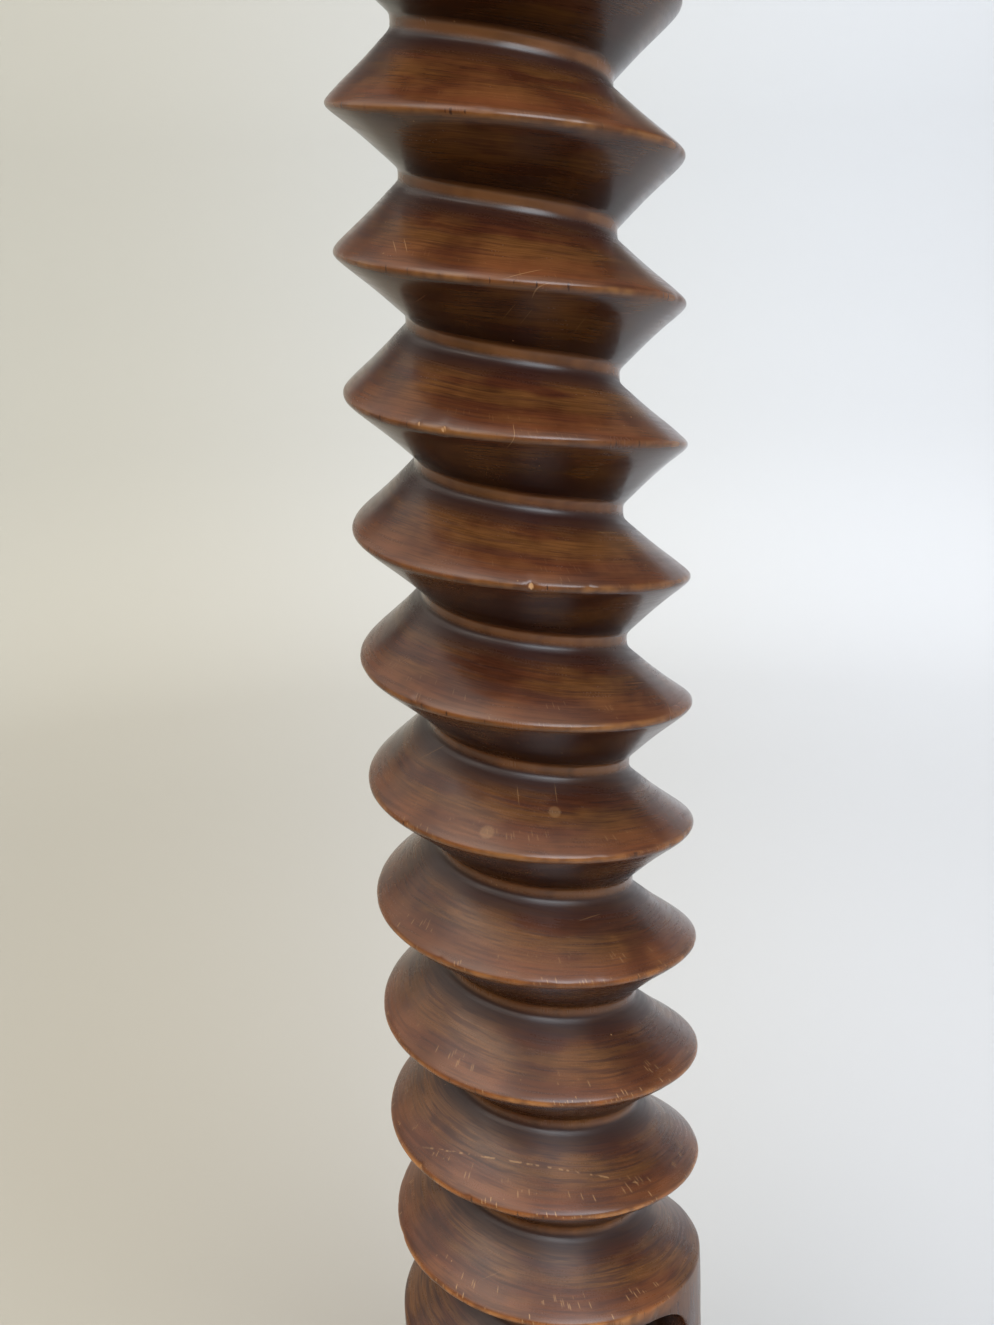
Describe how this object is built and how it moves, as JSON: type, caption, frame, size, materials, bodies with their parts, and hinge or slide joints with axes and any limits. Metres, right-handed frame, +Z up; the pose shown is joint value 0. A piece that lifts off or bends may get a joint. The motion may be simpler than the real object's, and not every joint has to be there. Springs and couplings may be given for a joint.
{
  "type": "wooden press screw column",
  "caption": "Free-standing wooden column: an old press screw with a deep left-hand V thread carved above a plain round head that serves as its foot.",
  "frame": {"origin": "centre of the underside of the head, on the surface that the column stands on", "axes": "+Z up along the column's axis, -Y to the front, +X to the right as seen from the front"},
  "size_m": [0.2, 0.2, 1.15],
  "materials": {
    "dark_waxed_wood": "dark reddish-brown hardwood, old satin wax and varnish, lighter along the worn ridge"
  },
  "bodies": {
    "root": {"press_screw": "dark_waxed_wood"}
  },
  "joints": []
}
